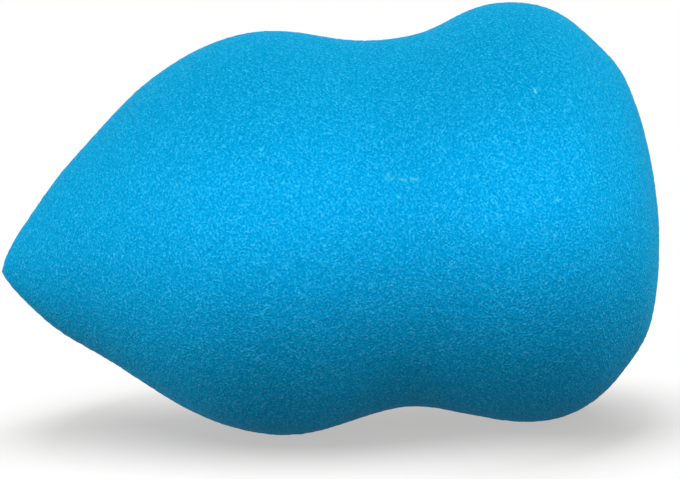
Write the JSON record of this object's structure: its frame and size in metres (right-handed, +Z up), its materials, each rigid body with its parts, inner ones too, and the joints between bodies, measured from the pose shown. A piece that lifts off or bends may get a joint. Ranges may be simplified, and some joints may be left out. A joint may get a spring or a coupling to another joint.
{
  "type": "makeup sponge",
  "caption": "Soft foam gourd-shaped makeup sponge with a pointed tip, a waist to grip and a domed base, for blending makeup.",
  "frame": {"origin": "on the floor, under the middle of the sponge's box as it lies on its side", "axes": "+X from the pointed tip towards the domed base, +Z up, +Y across the sponge"},
  "size_m": [0.062, 0.0396, 0.0394],
  "materials": {
    "foam": "soft matt fine-cell foam, velvety where it was ground to shape"
  },
  "bodies": {
    "root": {"foam_sponge": "foam"}
  },
  "joints": []
}
